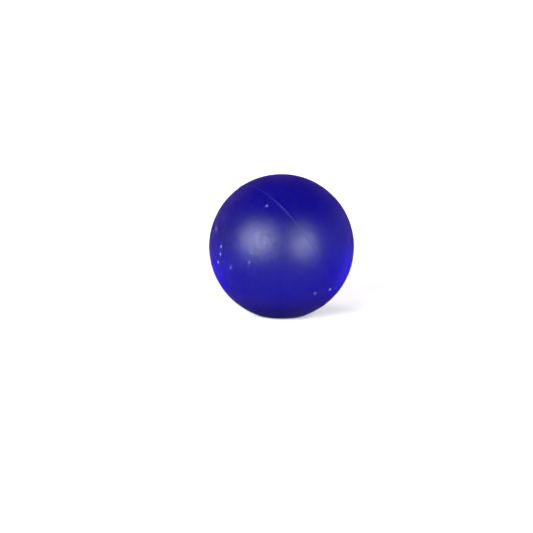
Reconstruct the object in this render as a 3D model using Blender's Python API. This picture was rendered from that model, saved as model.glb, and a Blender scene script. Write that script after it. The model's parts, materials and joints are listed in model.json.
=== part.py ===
"""A gel-filled stress ball: moulded skin, gel filling, stopper and the glue that seals it.

Units are metres and +Z is up. The origin is the centre of the flat patch that the soft ball
settles onto, and the ball's centre is straight above it.
"""

import math

import bmesh
import bpy
from mathutils import Matrix, Vector

# The ball.
BALL_RADIUS = 0.03175
SETTLED_BY = 0.0018  # how much lower the soft ball stands than a hard one
FOOT_BLEND = 0.008  # radius of the turn from the flat underside into the sphere
SKIN_WALL = 0.0025
GAP = 0.0003  # clearance between neighbouring pieces

# The parting line is the great circle square to this direction.
PARTING_NORMAL = Vector((0.762, 0.425, 0.488)).normalized()
PARTING_HEIGHT = 0.00015
PARTING_WIDTH = 0.0007
PARTING_CROWN = 0.0003  # the width of its flat top
PARTING_ROOT = 0.0004  # how deep the line's ridge is set into the skin

# The filling port. It faces level, on the parting line, on the ball's far side.
# Distances called "at" are from the ball's centre, along the port's axis.
NECK_RADIUS = 0.0075
NECK_END_AT = 0.022
NECK_ROOT_AT = 0.030
NECK_CHAMFER = 0.0008
SEAT_RADIUS = 0.0064
SEAT_FLOOR_AT = 0.02975
PORT_BORE_RADIUS = 0.0024
PORT_CUT_PAST = 0.002  # how far the cutter runs past each end of the port

# The stopper.
HEAD_RADIUS = 0.00495
HEAD_SUNK_BY = 0.00015  # its face follows the ball, this far below the surface
STEM_RADIUS = 0.00175
RIB_RADIUS = PORT_BORE_RADIUS - GAP
FACE_POINTS = 4
RIB_LENGTH = 0.0007
RIBS_AT = (0.0246, 0.0266)
STEM_TIP_AT = 0.0230
STEM_TIP_RADIUS = 0.0012
STEM_TAPER = 0.0009

# The bead of glue around the stopper's head.
GLUE_CLEAR_BY = 0.00025  # its gap to the head inside it and to the seat around it
GLUE_INNER_RADIUS = HEAD_RADIUS + GLUE_CLEAR_BY
GLUE_OUTER_RADIUS = SEAT_RADIUS - GLUE_CLEAR_BY
GLUE_EDGE_AT = 0.03100
GLUE_HOLLOW = 0.00020  # how far the bead's face dips between its two edges

# How finely round shapes are divided.
SKIN_STEPS = 64
CORE_STEPS = 48
PORT_STEPS = 32
BLEND_POINTS = 3
MERGE_DISTANCE = 1e-6
SHARP_ANGLE = math.radians(35)

BALL_CENTRE = Vector((0, 0, BALL_RADIUS - SETTLED_BY))
PORT_DIRECTION = Vector((0, 0, 1)).cross(PARTING_NORMAL).normalized()


def clear_scene():
    for obj in list(bpy.data.objects):
        bpy.data.objects.remove(obj, do_unlink=True)


def material(name, colour, roughness, metallic=0.0):
    made = bpy.data.materials.new(name)
    made.use_nodes = True
    shader = made.node_tree.nodes["Principled BSDF"]
    shader.inputs["Base Color"].default_value = (*colour, 1.0)
    shader.inputs["Roughness"].default_value = roughness
    shader.inputs["Metallic"].default_value = metallic
    made.diffuse_color = (*colour, 1.0)
    return made


def empty(name, matrix):
    """A placed frame that other objects are parented to."""
    obj = bpy.data.objects.new(name, None)
    bpy.context.scene.collection.objects.link(obj)
    obj.matrix_world = matrix
    return obj


def turned(name, profile, steps, parent=None):
    """A body turned about Z from (radius, height) points: axis to axis, or a closed loop."""
    bm = bmesh.new()
    points = [bm.verts.new((radius, 0, height)) for radius, height in profile]
    edges = [bm.edges.new(pair) for pair in zip(points, points[1:])]
    bmesh.ops.spin(
        bm, geom=points + edges, cent=(0, 0, 0), axis=(0, 0, 1), angle=2 * math.pi, steps=steps
    )
    bmesh.ops.remove_doubles(bm, verts=bm.verts, dist=MERGE_DISTANCE)
    bmesh.ops.recalc_face_normals(bm, faces=bm.faces)
    mesh = bpy.data.meshes.new(name)
    bm.to_mesh(mesh)
    bm.free()
    mesh.shade_smooth()
    mesh.set_sharp_from_angle(angle=SHARP_ANGLE)
    obj = bpy.data.objects.new(name, mesh)
    bpy.context.scene.collection.objects.link(obj)
    obj.parent = parent
    return obj


def cutter(obj):
    """Marks an object that only shapes another one."""
    obj.hide_render = True
    obj.display_type = "WIRE"
    return obj


def combine(obj, operation, tool):
    step = obj.modifiers.new(tool.name, "BOOLEAN")
    step.operation = operation
    step.solver = "EXACT"
    step.object = cutter(tool)


def arc(centre, radius, start, end, points):
    """Points on a circle in the (radius, height) plane, angles from straight down."""
    angles = [start + (end - start) * i / (points - 1) for i in range(points)]
    return [(centre[0] + radius * math.sin(a), centre[1] - radius * math.cos(a)) for a in angles]


def settled_profile(depth, steps):
    """Half the settled ball's outline, moved inwards by depth, from its underside to its top."""
    foot_radius = math.sqrt(SETTLED_BY * (2 * BALL_RADIUS - SETTLED_BY - 2 * FOOT_BLEND))
    meets_at = math.atan2(foot_radius, BALL_CENTRE.z - FOOT_BLEND)
    foot_turn = arc((foot_radius, FOOT_BLEND), FOOT_BLEND - depth, 0, meets_at, BLEND_POINTS)
    sphere_points = round(steps / 2 * (math.pi - meets_at) / math.pi) + 1
    sphere = arc((0, BALL_CENTRE.z), BALL_RADIUS - depth, meets_at, math.pi, sphere_points)
    return [(0, depth), *foot_turn, *sphere[1:-1], (0, BALL_CENTRE.z + BALL_RADIUS - depth)]


def parting_ridge(parent):
    """The thin raised line that the mould's two halves left around the skin."""
    half = PARTING_WIDTH / 2
    root, crown = BALL_RADIUS - PARTING_ROOT, BALL_RADIUS + PARTING_HEIGHT
    crown_half = PARTING_CROWN / 2
    profile = [(root, -half), (BALL_RADIUS, -half), (crown, -crown_half)]
    profile += [(crown, crown_half), (BALL_RADIUS, half), (root, half)]
    return turned("parting_ridge", [*profile, profile[0]], SKIN_STEPS, parent)


def port_neck(name, radius, end_at, parent):
    """A chamfered round plug, from within the skin's wall down to end_at."""
    profile = [(0, end_at), (radius - NECK_CHAMFER, end_at), (radius, end_at + NECK_CHAMFER)]
    profile += [(radius, NECK_ROOT_AT), (0, NECK_ROOT_AT)]
    return turned(name, profile, PORT_STEPS, parent)


def port_cut(parent):
    """The stopper's round seat, and the bore through the neck."""
    bottom, top = NECK_END_AT - PORT_CUT_PAST, BALL_RADIUS + PORT_CUT_PAST
    profile = [(0, bottom), (PORT_BORE_RADIUS, bottom), (PORT_BORE_RADIUS, SEAT_FLOOR_AT)]
    profile += [(SEAT_RADIUS, SEAT_FLOOR_AT), (SEAT_RADIUS, top), (0, top)]
    return turned("port_cut", profile, PORT_STEPS, parent)


def outer_skin(ball_frame, parting_frame, port_frame):
    skin = turned("outer_skin", settled_profile(0, SKIN_STEPS), SKIN_STEPS, ball_frame)
    skin.data.materials.append(material("blue_rubber_skin", (0.035, 0.018, 0.42), 0.42))
    combine(skin, "UNION", parting_ridge(parting_frame))
    hollow = turned("skin_hollow", settled_profile(SKIN_WALL, CORE_STEPS), CORE_STEPS, ball_frame)
    combine(skin, "DIFFERENCE", hollow)
    combine(skin, "UNION", port_neck("port_neck", NECK_RADIUS, NECK_END_AT, port_frame))
    combine(skin, "DIFFERENCE", port_cut(port_frame))


def gel_core(ball_frame, port_frame):
    core = turned("gel_core", settled_profile(SKIN_WALL + GAP, CORE_STEPS), CORE_STEPS, ball_frame)
    core.data.materials.append(material("blue_gel", (0.030, 0.015, 0.36), 0.15))
    pocket = port_neck("neck_pocket", NECK_RADIUS + GAP, NECK_END_AT - GAP, port_frame)
    combine(core, "DIFFERENCE", pocket)


def fill_stopper(port_frame):
    """A ribbed stem under a round head, whose face follows the ball."""
    head_under_at = SEAT_FLOOR_AT + GAP
    face_radius = BALL_RADIUS - HEAD_SUNK_BY
    rim = math.asin(HEAD_RADIUS / face_radius)
    profile = [(0, STEM_TIP_AT), (STEM_TIP_RADIUS, STEM_TIP_AT)]
    profile.append((STEM_RADIUS, STEM_TIP_AT + STEM_TAPER))
    for rib_at in RIBS_AT:
        rib_top = rib_at + RIB_LENGTH
        profile += [(STEM_RADIUS, rib_at), (RIB_RADIUS, rib_top), (STEM_RADIUS, rib_top)]
    profile += [(STEM_RADIUS, head_under_at), (HEAD_RADIUS, head_under_at)]
    profile += arc((0, 0), face_radius, math.pi - rim, math.pi, FACE_POINTS)[:-1]
    profile.append((0, face_radius))
    stopper = turned("fill_stopper", profile, PORT_STEPS, port_frame)
    stopper.data.materials.append(material("blue_rubber_stopper", (0.028, 0.016, 0.33), 0.5))


def glue_ring(port_frame):
    """The bead between the stopper's head and its seat, with a face that dips in the middle."""
    floor_at = SEAT_FLOOR_AT + GAP
    middle = (GLUE_INNER_RADIUS + GLUE_OUTER_RADIUS) / 2
    profile = [(GLUE_INNER_RADIUS, floor_at), (GLUE_OUTER_RADIUS, floor_at)]
    profile += [(GLUE_OUTER_RADIUS, GLUE_EDGE_AT), (middle, GLUE_EDGE_AT - GLUE_HOLLOW)]
    profile += [(GLUE_INNER_RADIUS, GLUE_EDGE_AT), (GLUE_INNER_RADIUS, floor_at)]
    ring = turned("glue_ring", profile, PORT_STEPS, port_frame)
    ring.data.materials.append(material("clear_glue", (0.16, 0.15, 0.62), 0.12))


def axis_frame(name, direction):
    """A frame at the ball's centre, with its Z along direction."""
    turn = Vector((0, 0, 1)).rotation_difference(direction).to_matrix().to_4x4()
    return empty(name, Matrix.Translation(BALL_CENTRE) @ turn)


def build():
    clear_scene()
    ball_frame = empty("ball_frame", Matrix.Identity(4))
    parting_frame = axis_frame("parting_frame", PARTING_NORMAL)
    port_frame = axis_frame("port_frame", PORT_DIRECTION)
    outer_skin(ball_frame, parting_frame, port_frame)
    gel_core(ball_frame, port_frame)
    fill_stopper(port_frame)
    glue_ring(port_frame)


build()
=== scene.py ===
"""The looks of the gel stress ball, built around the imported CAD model.

Metres, +Z up. The ball rests on the floor at the origin. The parting line runs round it on a
tilted great circle, and the stoppered filling port faces level on that line, at the back.
"""

import json
import math

import bmesh
import bpy
import numpy as np
from mathutils import Matrix, Vector, noise

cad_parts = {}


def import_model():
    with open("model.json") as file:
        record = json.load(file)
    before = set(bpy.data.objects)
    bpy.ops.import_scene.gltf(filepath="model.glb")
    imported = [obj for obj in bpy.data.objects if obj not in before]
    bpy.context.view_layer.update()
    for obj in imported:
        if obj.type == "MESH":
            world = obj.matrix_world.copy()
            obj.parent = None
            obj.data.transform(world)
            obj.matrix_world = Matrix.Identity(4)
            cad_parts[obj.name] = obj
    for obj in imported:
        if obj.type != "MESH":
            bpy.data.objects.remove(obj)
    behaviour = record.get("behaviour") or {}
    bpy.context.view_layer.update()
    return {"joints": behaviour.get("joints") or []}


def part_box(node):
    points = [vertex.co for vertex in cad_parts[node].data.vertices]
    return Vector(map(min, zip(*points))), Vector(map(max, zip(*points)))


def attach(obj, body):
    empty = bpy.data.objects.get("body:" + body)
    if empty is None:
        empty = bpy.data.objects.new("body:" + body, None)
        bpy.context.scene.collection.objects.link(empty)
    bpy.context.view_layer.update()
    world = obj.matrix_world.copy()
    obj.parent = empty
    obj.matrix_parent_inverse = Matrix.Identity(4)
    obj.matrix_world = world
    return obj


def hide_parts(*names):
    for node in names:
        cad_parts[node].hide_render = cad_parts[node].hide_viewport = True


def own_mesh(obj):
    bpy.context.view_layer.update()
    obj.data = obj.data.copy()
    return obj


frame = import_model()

# Sizes that the CAD model gives.
SKIN_LOW, SKIN_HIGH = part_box("outer_skin")
GEL_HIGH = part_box("gel_core")[1]
SQUEEZE = next(joint for joint in frame["joints"] if joint["name"] == "squeeze")
TRAVEL = max(SQUEEZE["range_m"])
BALL_RADIUS = (SKIN_HIGH.x - SKIN_LOW.x) / 2
FULLY_SQUEEZED = 1 - TRAVEL / BALL_RADIUS  # the share of its depth that the ball keeps
CENTRE = Vector((0, 0, SKIN_HIGH.z - BALL_RADIUS))
PORT_OUT = -Vector(SQUEEZE["axis"]).normalized()
SETTLED_BY = BALL_RADIUS - CENTRE.z
GEL_DEPTH = SKIN_HIGH.z - GEL_HIGH.z
GAP = 0.0003  # between the skin and the gel
WALL = GEL_DEPTH - GAP

# The foot: the arc that turns the flat underside into the sphere.
FOOT_BLEND = 0.008
FOOT_RADIUS = math.sqrt(SETTLED_BY * (2 * BALL_RADIUS - SETTLED_BY - 2 * FOOT_BLEND))

# The parting line.
PARTING_TILT = math.radians(29.2)
ACROSS = Vector((PORT_OUT.y, -PORT_OUT.x, 0))
PARTING_NORMAL = ACROSS * math.cos(PARTING_TILT) + Vector((0, 0, 1)) * math.sin(PARTING_TILT)
GROOVE_DEPTH = 0.00005
GROOVE_HALF_WIDTH = 0.00020
GROOVE_SHARPNESS = 1.6  # higher is narrower
MOULD_STEP = 0.00015  # how far one half of the mould stood proud of the other
FLUSH_TURN, FLUSH_RISE = 16, 24  # where on the line the prouder half changes sides
SIDES_CHANGE_OVER = 0.25  # in ball radii
STEP_WIDTH = 0.00012
STEP_FADES_OVER = 0.0012

# How the line and the face around it wander. Lengths called OVER are in ball radii.
LINE_WANDERS_BY, LINE_WANDERS_OVER = 0.00004, 0.35
GROOVE_SHARE, GROOVE_VARIES_BY, GROOVE_VARIES_OVER = 0.75, 0.35, 0.12
SWELLS_BY, SWELLS_OVER = 0.00005, 0.45

# The filling port. Places called AT are distances from the ball's centre along its axis.
SEAT_RADIUS = 0.0064
SEAT_FLOOR_AT = 0.0289  # deep enough for the head to clear it at full squeeze
SEAT_LIP = 0.0005
BORE_RADIUS = 0.0024
NECK_RADIUS = 0.0075
NECK_END_AT = 0.022
NECK_ROOT_AT = 0.030
NECK_EDGE = 0.0008
CUT_PAST = 0.002

# The stopper and its glue.
HEAD_RADIUS = 0.00495
HEAD_UNDER_AT = 0.03005
HEAD_EDGE = 0.00035
FACE_RADIUS = BALL_RADIUS - 0.00015
STEM_RADIUS = 0.00175
STEM_TIP_AT = 0.0230
STEM_TIP_EDGE = 0.0006
RIBS_AT = (0.0246, 0.0266)
RIB_LENGTH = 0.0007
RIB_HEIGHT = 0.00035
RIB_EDGE = RIB_HEIGHT * 0.4
GATE_DISH_RADIUS = 0.0013
GATE_DISH_DEPTH = 0.00016
GATE_NUB_RADIUS = 0.00045
GATE_NUB_HEIGHT = 0.00012
GLUE_INNER = HEAD_RADIUS + 0.00003
GLUE_OUTER = SEAT_RADIUS - 0.00005
GLUE_INNER_AT = 0.03092
GLUE_OUTER_AT = 0.03058
GLUE_CROWN = 0.00028
GLUE_FULLNESS = 0.7  # lower is squarer in section
GLUE_WANDERS_BY, GLUE_WANDER_PACE = 0.35, 1.7
GLUE_RIPPLES_BY, GLUE_RIPPLE_PACE = 0.12, 6.1
GLUE_EDGE_RIPPLE = 0.00010

# How finely shapes are divided.
LONGITUDES = 384
HIDDEN_ROWS = 59
HIDDEN_LONGITUDES = 120
PORT_STEPS = 128
GLUE_STEPS, GLUE_CROWN_POINTS = 192, 10
MERGE_DISTANCE = 1e-7
SHARP_ANGLE = math.radians(40)
GLUE_SHARP_ANGLE = math.radians(50)
TINY = 1e-6


# ---- Shapes -----------------------------------------------------------------------------------


def heading(turn, rise):
    """The direction turned this many degrees to the right of the front, and raised by rise."""
    turn, rise = math.radians(turn), math.radians(rise)
    level = math.cos(rise)
    return Vector((math.sin(turn) * level, -math.cos(turn) * level, math.sin(rise)))


def settled_radius(down, depth=0.0):
    """Distance from the ball's centre to its surface, for the cosine of the angle from down."""
    out = np.full(down.shape, BALL_RADIUS - depth)
    blend = FOOT_BLEND - depth
    rise = CENTRE.z - FOOT_BLEND
    reach = math.hypot(FOOT_RADIUS, rise)
    sine = np.sqrt(np.clip(1 - down**2, 0, 1))
    along = FOOT_RADIUS * sine + rise * down
    on_arc = down > rise / reach
    root = np.sqrt(np.clip(blend**2 - reach**2 + along**2, 0, None))
    out = np.where(on_arc, along + root, out)
    flat = (CENTRE.z - depth) / np.clip(down, TINY, None)
    on_flat = on_arc & (flat * sine < FOOT_RADIUS)
    return np.where(on_flat, flat, out)


def smooth_noise(points, size, seed):
    """One value from -1 to 1 for each point, changing over about size."""
    shift = Vector((seed * 7.3, seed * 3.1, seed * 5.7))
    return np.array([noise.noise(Vector(p) / size + shift) for p in points])


def parting_rows():
    """Angles from the parting plane, close together at the line and even elsewhere."""
    first, last, near_count, far_count = 0.00005, 0.0013, 10, 46
    near = np.geomspace(first, last, near_count) / BALL_RADIUS
    far = np.linspace(near[-1], math.pi / 2, far_count)[1:-1]
    side = np.concatenate([near, far])
    return np.concatenate([-side[::-1], [0.0], side])


def even_rows():
    return np.linspace(-math.pi / 2, math.pi / 2, HIDDEN_ROWS + 2)[1:-1]


def mesh_object(name, points, faces):
    mesh = bpy.data.meshes.new(name)
    mesh.from_pydata(np.asarray(points).tolist(), [], faces)
    mesh.shade_smooth()
    obj = bpy.data.objects.new(name, mesh)
    bpy.context.scene.collection.objects.link(obj)
    return obj


def ball_mesh(name, rows, longitudes, radius_of):
    """A closed ball whose poles lie on the parting line's axis. radius_of takes directions."""
    first, second = np.array(PORT_OUT), np.array(PARTING_NORMAL.cross(PORT_OUT))
    normal = np.array(PARTING_NORMAL)
    turn = np.arange(longitudes) / longitudes * 2 * math.pi
    around = np.outer(np.cos(turn), first) + np.outer(np.sin(turn), second)
    rings = [math.cos(a) * around + math.sin(a) * normal for a in rows]
    directions = np.concatenate([[-normal], *rings, [normal]])
    points = directions * radius_of(directions)[:, None] + np.array(CENTRE)
    faces = []
    last = len(points) - 1
    top = 1 + (len(rows) - 1) * longitudes
    for i in range(longitudes):
        j = (i + 1) % longitudes
        faces.append((0, 1 + j, 1 + i))
        faces.append((last, top + i, top + j))
        for r in range(len(rows) - 1):
            low, high = 1 + r * longitudes, 1 + (r + 1) * longitudes
            faces.append((low + i, low + j, high + j, high + i))
    return mesh_object(name, points, faces)


def skin_radius(directions):
    """The outer surface: settled, faintly uneven, with the mould's fine groove and step."""
    radius = settled_radius(-directions[:, 2])
    sphere = radius > BALL_RADIUS - TINY
    across = np.arcsin(np.clip(directions @ np.array(PARTING_NORMAL), -1, 1)) * BALL_RADIUS
    across = across - LINE_WANDERS_BY * smooth_noise(directions, LINE_WANDERS_OVER, 1)
    share = GROOVE_SHARE + GROOVE_VARIES_BY * smooth_noise(directions, GROOVE_VARIES_OVER, 2)
    section = np.exp(-((across / GROOVE_HALF_WIDTH) ** 2) * GROOVE_SHARPNESS)
    groove = GROOVE_DEPTH * share * section
    shifted_to = heading(FLUSH_TURN, FLUSH_RISE).cross(PARTING_NORMAL).normalized()
    prouder = np.tanh(directions @ np.array(shifted_to) / SIDES_CHANGE_OVER)
    step = MOULD_STEP / 2 * prouder * np.tanh(across / STEP_WIDTH)
    step = step * np.exp(-((across / STEP_FADES_OVER) ** 2))
    swell = SWELLS_BY * smooth_noise(directions, SWELLS_OVER, 3) - SWELLS_BY
    return radius + (swell - groove + step) * sphere


def plain_radius(depth):
    return lambda directions: settled_radius(-directions[:, 2], depth)


def port_matrix():
    """The frame at the ball's centre with its Z out along the port."""
    turn = Vector((0, 0, 1)).rotation_difference(PORT_OUT).to_matrix().to_4x4()
    return Matrix.Translation(CENTRE) @ turn


def turned(name, profile, matrix, steps=PORT_STEPS):
    """A body turned about the local Z of matrix from (radius, height) points."""
    bm = bmesh.new()
    points = [bm.verts.new((radius, 0, height)) for radius, height in profile]
    edges = [bm.edges.new(pair) for pair in zip(points, points[1:])]
    bmesh.ops.spin(
        bm, geom=points + edges, cent=(0, 0, 0), axis=(0, 0, 1), angle=2 * math.pi, steps=steps
    )
    bmesh.ops.remove_doubles(bm, verts=bm.verts, dist=MERGE_DISTANCE)
    bmesh.ops.recalc_face_normals(bm, faces=bm.faces)
    bm.transform(matrix)
    mesh = bpy.data.meshes.new(name)
    bm.to_mesh(mesh)
    bm.free()
    mesh.shade_smooth()
    mesh.set_sharp_from_angle(angle=SHARP_ANGLE)
    obj = bpy.data.objects.new(name, mesh)
    bpy.context.scene.collection.objects.link(obj)
    return obj


def combined(obj, *steps):
    """Applies Boolean steps, each an operation and the object it uses up."""
    for operation, tool in steps:
        modifier = obj.modifiers.new(operation, "BOOLEAN")
        modifier.operation = operation
        modifier.solver = "EXACT"
        modifier.object = tool
    evaluated = obj.evaluated_get(bpy.context.evaluated_depsgraph_get())
    mesh = bpy.data.meshes.new_from_object(evaluated)
    obj.modifiers.clear()
    obj.data = mesh
    for _, tool in steps:
        bpy.data.objects.remove(tool)
    return obj


def arc(centre, radius, start, end, points=6):
    """Points on a circle in the (radius, height) plane, angles in degrees from outwards."""
    angles = [math.radians(start + (end - start) * i / (points - 1)) for i in range(points)]
    return [(centre[0] + radius * math.cos(a), centre[1] + radius * math.sin(a)) for a in angles]


def port_cut(matrix):
    """The seat with a rounded lip, and the bore."""
    lip_radius = SEAT_RADIUS + SEAT_LIP
    lip_at = math.sqrt(BALL_RADIUS**2 - lip_radius**2) - SEAT_LIP
    bottom, top = NECK_END_AT - CUT_PAST, BALL_RADIUS + CUT_PAST
    profile = [(0, bottom), (BORE_RADIUS, bottom), (BORE_RADIUS, SEAT_FLOOR_AT)]
    profile += [(SEAT_RADIUS, SEAT_FLOOR_AT), *arc((lip_radius, lip_at), SEAT_LIP, 180, 90, 8)]
    profile += [(lip_radius, top), (0, top)]
    return turned("port_cut", profile, matrix)


def neck(name, extra, matrix):
    radius, end = NECK_RADIUS + extra, NECK_END_AT - extra
    profile = [(0, end), *arc((radius - NECK_EDGE, end + NECK_EDGE), NECK_EDGE, -90, 0)]
    profile += [(radius, NECK_ROOT_AT), (0, NECK_ROOT_AT)]
    return turned(name, profile, matrix)


def mark_inner_faces(skin, matrix):
    """Gives the hollow's faces the second material slot. The seat and the bore stay outside."""
    mesh = skin.data
    middles = np.empty(len(mesh.polygons) * 3)
    mesh.polygons.foreach_get("center", middles)
    middles = middles.reshape(-1, 3)
    offset = middles - np.array(CENTRE)
    distance = np.linalg.norm(offset, axis=1)
    depth = settled_radius(-offset[:, 2] / distance) - distance
    port = (np.c_[middles, np.ones(len(middles))] @ np.array(matrix.inverted()).T)[:, :3]
    off_axis = np.hypot(port[:, 0], port[:, 1])
    in_seat = (off_axis < SEAT_RADIUS + SEAT_LIP) & (port[:, 2] > SEAT_FLOOR_AT - GAP / 2)
    in_bore = (off_axis < BORE_RADIUS + GAP / 2) & (port[:, 2] > 0)
    inner = (depth > WALL / 2) & ~in_seat & ~in_bore
    mesh.polygons.foreach_set("material_index", inner.astype(np.int32))


def build_skin(matrix):
    skin = ball_mesh("ball_skin", parting_rows(), LONGITUDES, skin_radius)
    hollow = ball_mesh("hollow", even_rows(), HIDDEN_LONGITUDES, plain_radius(WALL))
    combined(
        skin,
        ("DIFFERENCE", hollow),
        ("UNION", neck("neck", 0, matrix)),
        ("DIFFERENCE", port_cut(matrix)),
    )
    skin.data.materials.append(skin_outside())
    skin.data.materials.append(clear_boundary("wetted_inner_wall", (0.93, 0.94, 1.0)))
    mark_inner_faces(skin, matrix)
    return skin


def build_gel(matrix):
    """The filling, with room for the neck, and below it for the stem's tip at full squeeze."""
    gel = ball_mesh("ball_gel", even_rows(), HIDDEN_LONGITUDES, plain_radius(GEL_DEPTH))
    well_end = (STEM_TIP_AT - TRAVEL) / FULLY_SQUEEZED - GAP
    edge_middle = (BORE_RADIUS - NECK_EDGE, well_end + NECK_EDGE)
    profile = [(0, well_end), *arc(edge_middle, NECK_EDGE, -90, 0)]
    profile += [(BORE_RADIUS, NECK_END_AT), (0, NECK_END_AT)]
    well = turned("well", profile, matrix)
    combined(gel, ("DIFFERENCE", neck("pocket", GAP, matrix)), ("DIFFERENCE", well))
    gel.data.materials.append(gel_inside())
    return gel


def build_stopper(matrix):
    """A ribbed stem under a round head. The head's face follows the ball, round a moulding gate."""
    profile = [(0, STEM_TIP_AT)]
    tip_middle = (STEM_RADIUS - STEM_TIP_EDGE, STEM_TIP_AT + STEM_TIP_EDGE)
    profile += arc(tip_middle, STEM_TIP_EDGE, -90, 0)
    for rib_at in RIBS_AT:
        profile.append((STEM_RADIUS, rib_at))
        rib_middle = (STEM_RADIUS + RIB_HEIGHT - RIB_EDGE, rib_at + RIB_LENGTH - RIB_EDGE)
        profile += arc(rib_middle, RIB_EDGE, -45, 90, 5)
        profile.append((STEM_RADIUS, rib_at + RIB_LENGTH))
    profile += [(STEM_RADIUS, HEAD_UNDER_AT), (HEAD_RADIUS - HEAD_EDGE / 2, HEAD_UNDER_AT)]
    profile.append((HEAD_RADIUS, HEAD_UNDER_AT + HEAD_EDGE / 2))
    edge_at = math.sqrt(FACE_RADIUS**2 - HEAD_RADIUS**2) - HEAD_EDGE
    profile += arc((HEAD_RADIUS - HEAD_EDGE, edge_at), HEAD_EDGE, 0, 80, 6)
    for radius in np.linspace(HEAD_RADIUS - HEAD_EDGE, GATE_DISH_RADIUS, 8)[1:]:
        profile.append((float(radius), math.sqrt(FACE_RADIUS**2 - radius**2)))
    floor_at = FACE_RADIUS - GATE_DISH_DEPTH
    dish_edge = GATE_DISH_DEPTH / 2
    profile += arc((GATE_DISH_RADIUS, floor_at + dish_edge), dish_edge, 180, 270, 4)
    nub_edge = GATE_NUB_HEIGHT / 2
    profile.append((GATE_NUB_RADIUS + nub_edge, floor_at))
    nub_middle = (GATE_NUB_RADIUS - nub_edge, floor_at + GATE_NUB_HEIGHT - nub_edge)
    profile += arc(nub_middle, nub_edge, 0, 90, 4)
    profile.append((0, floor_at + GATE_NUB_HEIGHT))
    stopper = turned("port_stopper", profile, matrix)
    stopper.data.materials.append(stopper_rubber())
    return stopper


def build_glue(matrix):
    """A bead that ran round the stopper's head by hand, so its width and height wander."""
    points = []
    for i in range(GLUE_STEPS):
        turn = 2 * math.pi * i / GLUE_STEPS
        out = Vector((math.cos(turn), math.sin(turn), 0))
        wander = noise.noise(out * GLUE_WANDER_PACE)
        ripple = noise.noise(out * GLUE_RIPPLE_PACE + Vector((4, 0, 0)))
        heaped = 1 + GLUE_WANDERS_BY * wander + GLUE_RIPPLES_BY * ripple
        outer = GLUE_OUTER - GLUE_EDGE_RIPPLE * (1 + ripple) / 2
        section = [(GLUE_INNER, HEAD_UNDER_AT), (outer, HEAD_UNDER_AT)]
        for k in range(GLUE_CROWN_POINTS):
            share = k / (GLUE_CROWN_POINTS - 1)
            radius = outer + (GLUE_INNER - outer) * share
            height = GLUE_OUTER_AT + (GLUE_INNER_AT - GLUE_OUTER_AT) * share
            crown = GLUE_CROWN * heaped * math.sin(math.pi * share) ** GLUE_FULLNESS
            section.append((radius, height + crown))
        points += [matrix @ (out * radius + Vector((0, 0, height))) for radius, height in section]
    around = GLUE_CROWN_POINTS + 2
    faces = []
    for i in range(GLUE_STEPS):
        here, after = i * around, (i + 1) % GLUE_STEPS * around
        for k in range(around):
            n = (k + 1) % around
            faces.append((here + k, after + k, after + n, here + n))
    glue = mesh_object("glue_bead", points, faces)
    glue.data.set_sharp_from_angle(angle=GLUE_SHARP_ANGLE)
    glue.data.materials.append(cured_glue())
    return glue


# ---- Materials --------------------------------------------------------------------------------

# Dust and pinholes that sit in the skin's face: turn, rise, radius in metres, and strength.
SPECKS = (
    (-15, 42, 0.00085, 0.16),
    (48, -29, 0.00095, 0.44),
    (31, -30, 0.00090, 0.30),
    (-59, -7, 0.00095, 0.29),
    (-68, 18, 0.00090, 0.30),
    (-25, -3, 0.00085, 0.11),
    (-55, 0, 0.00090, 0.25),
    (-43, -9, 0.00080, 0.18),
    (-54, 6, 0.00090, 0.22),
)
SPECK_DEPTH = 0.00008
SPECK_HEIGHT = 0.000015

# The share of light that the skin's gloss takes wanders between these. Of the rest, this much goes
# through, and the haze takes what is left.
LEAST_GLOSS, MOST_GLOSS = 0.0063, 0.0099
CLEAR_SHARE = 0.93

# The blue that the rubber and the gel let through, and how densely they are dyed, per metre.
LETS_THROUGH = (0.56, 0.04, 0.910)
SKIN_DENSITY = 75.0
GEL_DENSITY = 282.0  # added to the skin's, whose volume carries on through its hollow


def feed(tree, socket, value):
    """Links a socket to another, or sets it."""
    if isinstance(value, bpy.types.NodeSocket):
        tree.links.new(value, socket)
    elif socket.type == "RGBA":
        socket.default_value = (*value, 1)
    else:
        socket.default_value = value


def add(tree, kind, inputs, **settings):
    """A shader node with its settings made and its inputs fed by name or number."""
    made = tree.nodes.new("ShaderNode" + kind)
    for name, value in settings.items():
        setattr(made, name, value)
    for name, value in inputs.items():
        feed(tree, made.inputs[name], value)
    return made


def maths(tree, operation, first, second):
    return add(tree, "Math", {0: first, 1: second}, operation=operation).outputs[0]


def ramp(tree, value, start, end, low, high, shape="LINEAR"):
    """Low at start and high at end, and level beyond them."""
    limits = {"From Min": start, "From Max": end, "To Min": low, "To Max": high}
    return add(tree, "MapRange", {"Value": value, **limits}, interpolation_type=shape).outputs[0]


def cloud(tree, place, size, low=0.0, high=1.0, detail=2.0, shift=0.0):
    """A value that drifts between low and high over about size metres."""
    moved = add(tree, "VectorMath", {0: place, 1: (shift, shift, shift)}, operation="ADD")
    grain = add(tree, "TexNoise", {"Vector": moved.outputs[0], "Scale": 1 / size, "Detail": detail})
    return ramp(tree, grain.outputs[0], 0.3, 0.7, low, high)


def blended(tree, factor, first, second):
    """A colour between two others."""
    made = add(tree, "Mix", {0: factor}, data_type="RGBA")
    feed(tree, made.inputs[6], first)
    feed(tree, made.inputs[7], second)
    return made.outputs[2]


def mixed(tree, share, first, second):
    """Two shaders, with this share of the second."""
    return add(tree, "MixShader", {0: share, 1: first, 2: second}).outputs[0]


def new_material(name):
    """A material, its empty node tree, the place on the object, and its output."""
    material = bpy.data.materials.new(name)
    material.use_nodes = True
    tree = material.node_tree
    tree.nodes.clear()
    place = add(tree, "TexCoord", {}).outputs["Object"]
    return material, tree, place, add(tree, "OutputMaterial", {})


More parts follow.
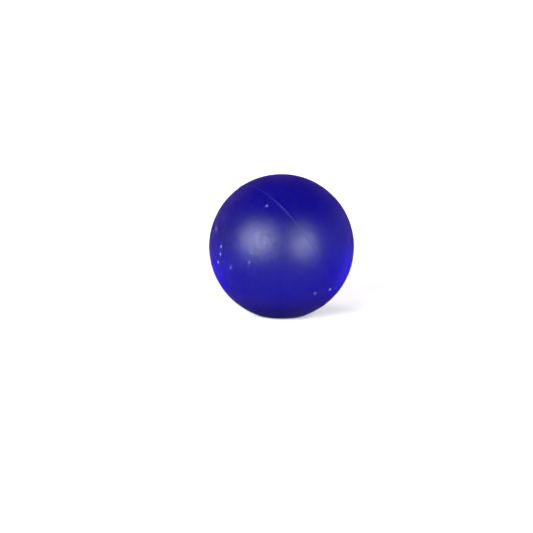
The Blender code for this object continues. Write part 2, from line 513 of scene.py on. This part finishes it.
def placed_specks(tree, place, specks):
    """A mask of round specks, each given by its turn, rise, radius and strength."""
    mask = 0.0
    for turn, rise, radius, strength in specks:
        middle = CENTRE + heading(turn, rise) * (BALL_RADIUS - SPECK_DEPTH)
        away = add(tree, "VectorMath", {0: place, 1: middle}, operation="DISTANCE").outputs["Value"]
        spot = ramp(tree, away, 0.0, radius, strength, 0.0, "SMOOTHSTEP")
        mask = maths(tree, "MAXIMUM", mask, spot)
    return mask


def scattered_specks(tree, place, spacing, radius, share):
    """A mask of round specks at random, in this share of the cells of a grid."""
    cells = add(tree, "TexVoronoi", {"Vector": place, "Scale": 1 / spacing})
    lot = add(tree, "SeparateColor", {"Color": cells.outputs["Color"]}).outputs["Red"]
    chosen = maths(tree, "LESS_THAN", lot, share)
    spot = ramp(tree, cells.outputs["Distance"], 0.0, radius / spacing, 1.0, 0.0, "SMOOTHSTEP")
    return maths(tree, "MULTIPLY", chosen, spot)


def skin_outside():
    """Satin blue rubber: mostly clear and rough inside, with a little haze and a little gloss."""
    material, tree, place, out = new_material("satin_blue_skin")
    mottle = cloud(tree, place, size=0.0022, detail=4.0)
    patches = cloud(tree, place, size=0.012, shift=0.3)

    fainter = scattered_specks(tree, place, spacing=0.0034, radius=0.00045, share=0.22)
    faintness = cloud(tree, place, size=0.003, low=0.05, high=0.30, shift=0.7)
    fainter = maths(tree, "MULTIPLY", fainter, faintness)
    dust = maths(tree, "MAXIMUM", placed_specks(tree, place, SPECKS), fainter)

    fine = cloud(tree, place, size=0.00035, low=0.0, high=0.000005, detail=1.0)
    uneven = cloud(tree, place, size=0.0030, low=0.0, high=0.000045, detail=3.0)
    height = maths(tree, "ADD", fine, uneven)
    height = maths(tree, "ADD", height, maths(tree, "MULTIPLY", dust, SPECK_HEIGHT))
    normal = add(tree, "Bump", {"Height": height, "Distance": 1.0, "Strength": 1.0}).outputs[0]

    haze_colour = blended(tree, patches, (0.0155, 0.007, 0.145), (0.0205, 0.012, 0.180))
    haze = add(
        tree,
        "BsdfPrincipled",
        {
            "Base Color": haze_colour,
            "Roughness": 0.4,
            "Specular IOR Level": 0.0,
            "Subsurface Weight": 1.0,
            "Subsurface Radius": (0.3, 0.4, 1.0),
            "Subsurface Scale": 0.0012,
            "Normal": normal,
        },
    ).outputs[0]
    through = add(
        tree,
        "BsdfRefraction",
        {
            "Color": blended(tree, mottle, (0.96, 0.97, 1.0), (1.0, 1.0, 1.0)),
            "Roughness": ramp(tree, patches, 0.0, 1.0, 0.47, 0.53),
            "IOR": 1.5,
            "Normal": normal,
        },
        distribution="GGX",
    ).outputs[0]
    satin = ramp(tree, mottle, 0.0, 1.0, 0.40, 0.46)
    gloss = add(
        tree,
        "BsdfAnisotropic",
        {"Color": (1, 1, 1), "Roughness": satin, "Normal": normal},
        distribution="BECKMANN",
    ).outputs[0]
    polish = cloud(tree, place, size=0.0015, low=LEAST_GLOSS, high=MOST_GLOSS, detail=1.5, shift=0.9)
    surface = mixed(tree, polish, mixed(tree, CLEAR_SHARE, haze, through), gloss)

    lint = {"Base Color": (0.30, 0.28, 0.56), "Roughness": 0.7, "Normal": normal}
    surface = mixed(tree, dust, surface, add(tree, "BsdfPrincipled", lint).outputs[0])
    feed(tree, out.inputs["Surface"], surface)
    volume = add(tree, "VolumeAbsorption", {"Color": LETS_THROUGH, "Density": SKIN_DENSITY})
    feed(tree, out.inputs["Volume"], volume.outputs[0])
    return material


def clear_boundary(name, tint):
    """A wall between two soft clear bodies that wet each other, so nothing bends or shines."""
    material, tree, place, out = new_material(name)
    film = cloud(tree, place, size=0.004, detail=3.0)
    clear = add(tree, "BsdfTransparent", {"Color": blended(tree, film, tint, (1.0, 1.0, 1.0))})
    feed(tree, out.inputs["Surface"], clear.outputs[0])
    return material


def gel_inside():
    """Clear deep blue gel that meets the skin with no air between them."""
    material, tree, place, out = new_material("clear_blue_gel")
    streaks = cloud(tree, place, size=0.006, detail=3.0)
    bubbles = scattered_specks(tree, place, spacing=0.0021, radius=0.00030, share=0.5)
    tint = blended(tree, streaks, (0.93, 0.94, 1.0), (1.0, 1.0, 1.0))
    tint = blended(tree, bubbles, tint, (0.80, 0.84, 1.0))
    clear = add(tree, "BsdfRefraction", {"Color": tint, "Roughness": 0.0, "IOR": 1.0})
    feed(tree, out.inputs["Surface"], clear.outputs[0])
    volume = add(tree, "VolumeAbsorption", {"Color": LETS_THROUGH, "Density": GEL_DENSITY})
    feed(tree, out.inputs["Volume"], volume.outputs[0])
    return material


def stopper_rubber():
    """Firmer, more heavily pigmented rubber than the skin's."""
    material, tree, place, out = new_material("blue_rubber_stopper")
    patches = cloud(tree, place, size=0.0016, detail=3.0)
    fine = cloud(tree, place, size=0.00025, low=0.0, high=0.000004, detail=2.0)
    uneven = cloud(tree, place, size=0.0014, low=0.0, high=0.00001, detail=3.0, shift=0.2)
    height = maths(tree, "ADD", fine, uneven)
    normal = add(tree, "Bump", {"Height": height, "Distance": 1.0}).outputs[0]
    shader = add(
        tree,
        "BsdfPrincipled",
        {
            "Base Color": blended(tree, patches, (0.006, 0.005, 0.080), (0.011, 0.009, 0.130)),
            "Roughness": ramp(tree, patches, 0.0, 1.0, 0.42, 0.55),
            "Specular IOR Level": 0.25,
            "Normal": normal,
        },
    )
    feed(tree, out.inputs["Surface"], shader.outputs[0])
    return material


def cured_glue():
    """Clear adhesive: smooth and glossy, a little cloudy, with fine bubbles."""
    material, tree, place, out = new_material("cured_clear_glue")
    clouds = cloud(tree, place, size=0.0012, detail=3.0)
    bubbles = scattered_specks(tree, place, spacing=0.0009, radius=0.00014, share=0.3)
    uneven = cloud(tree, place, size=0.0011, low=0.0, high=0.00002, detail=2.0, shift=0.4)
    height = maths(tree, "ADD", uneven, maths(tree, "MULTIPLY", bubbles, -0.00002))
    normal = add(tree, "Bump", {"Height": height, "Distance": 1.0}).outputs[0]
    tint = blended(tree, clouds, (0.035, 0.035, 0.30), (0.08, 0.085, 0.42))
    shader = add(
        tree,
        "BsdfPrincipled",
        {
            "Base Color": blended(tree, bubbles, tint, (0.30, 0.32, 0.70)),
            "Roughness": ramp(tree, clouds, 0.0, 1.0, 0.05, 0.12),
            "Transmission Weight": 0.8,
            "IOR": 1.47,
            "Normal": normal,
        },
    )
    feed(tree, out.inputs["Surface"], shader.outputs[0])
    return material


def studio_white():
    """Matt white that glows more with distance, so the far floor and wall go plain white."""
    material, tree, place, out = new_material("studio_white")
    reach = add(tree, "VectorMath", {0: place}, operation="LENGTH").outputs["Value"]
    glow = ramp(tree, reach, 0.08, 0.65, 0.0, 0.9, "SMOOTHSTEP")
    grain = cloud(tree, place, size=0.05, low=0.33, high=0.35)
    shader = add(
        tree,
        "BsdfPrincipled",
        {
            "Base Color": add(tree, "CombineColor", {0: grain, 1: grain, 2: grain}).outputs[0],
            "Roughness": 0.9,
            "Emission Color": (1, 1, 1),
            "Emission Strength": glow,
        },
    )
    feed(tree, out.inputs["Surface"], shader.outputs[0])
    return material


# ---- Studio -----------------------------------------------------------------------------------


def stage():
    """A round flat floor that curves up into a low wall all round."""
    floor_radius, curve, wall_top, drop = 0.75, 0.35, 0.6, 0.00005
    profile = [(0, 0), (floor_radius, 0)]
    profile += arc((floor_radius, curve), curve, -90, 0, 16)[1:]
    profile.append((floor_radius + curve, wall_top))
    bowl = turned("studio_bowl", profile, Matrix.Translation((0, 0, -drop)))
    bowl.data.materials.append(studio_white())


def softbox(name, turn, rise, distance, size, power, colour=(1, 1, 1)):
    """A rectangular light that faces the ball from this direction."""
    light = bpy.data.lights.new(name, "AREA")
    light.shape = "RECTANGLE"
    light.size, light.size_y = size
    light.energy = power
    light.color = colour
    away = heading(turn, rise)
    obj = bpy.data.objects.new(name, light)
    obj.location = CENTRE + away * distance
    obj.rotation_euler = away.to_track_quat("Z", "Y").to_euler()
    bpy.context.scene.collection.objects.link(obj)
    return obj


def lights():
    """Two softboxes in front make the soft highlights. Two behind light the ball through.

    The front ones don't show through the ball, and the back ones don't show in its gloss.
    """
    cool = (0.93, 1.0, 0.98)
    for front in (
        softbox("key", turn=-38, rise=18, distance=0.6, size=(0.48, 0.34), power=22.0, colour=cool),
        softbox("fill", turn=34, rise=12, distance=0.7, size=(0.22, 0.42), power=16.6, colour=cool),
    ):
        front.visible_transmission = False
    for name, turn in (("back_left", -115), ("back_right", 115)):
        size, pinkish = (0.6, 0.95), (1.0, 0.92, 1.0)
        back = softbox(name, turn, rise=9, distance=0.85, size=size, power=33.0, colour=pinkish)
        back.visible_glossy = False


def world():
    made = bpy.data.worlds.new("studio")
    made.use_nodes = True
    background = made.node_tree.nodes["Background"]
    background.inputs["Color"].default_value = (1, 1, 1, 1)
    background.inputs["Strength"].default_value = 0.1
    bpy.context.scene.world = made


def camera():
    """Looks slightly down on the ball, which sits a little right of and above the middle."""
    rise, ball_right, ball_up = math.radians(10), math.radians(0.682), math.radians(0.909)
    distance = 0.5507
    data = bpy.data.cameras.new("camera")
    data.lens = 85
    data.sensor_width = 36
    obj = bpy.data.objects.new("camera", data)
    bpy.context.scene.collection.objects.link(obj)
    right = Vector((1, 0, 0))
    up = Vector((0, math.sin(rise), math.cos(rise)))
    back = right.cross(up)
    facing = Matrix((right, up, back)).transposed()
    turned_left = Matrix.Rotation(ball_right, 3, up)
    tipped_down = Matrix.Rotation(-ball_up, 3, turned_left @ right)
    place = Matrix.Translation(CENTRE + back * distance)
    obj.matrix_world = place @ (tipped_down @ turned_left @ facing).to_4x4()
    bpy.context.scene.camera = obj


# ---- The model --------------------------------------------------------------------------------


def squeezed(piece):
    """Gives the piece a mesh of its own."""
    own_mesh(piece)


port = port_matrix()
skin = build_skin(port)
gel = build_gel(port)
stopper = build_stopper(port)
glue = build_glue(port)

for piece, body, node_name, slot in (
    (skin, "ball", "outer_skin", "skin_rubber"),
    (gel, "ball", "gel_core", "gel"),
    (stopper, "closure", "fill_stopper", "stopper_rubber"),
    (glue, "closure", "glue_ring", "clear_glue"),
):
    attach(piece, body)
    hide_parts(node_name)
squeezed(skin)
squeezed(gel)

stage()
lights()
world()
camera()
bpy.context.scene.view_settings.view_transform = "Standard"
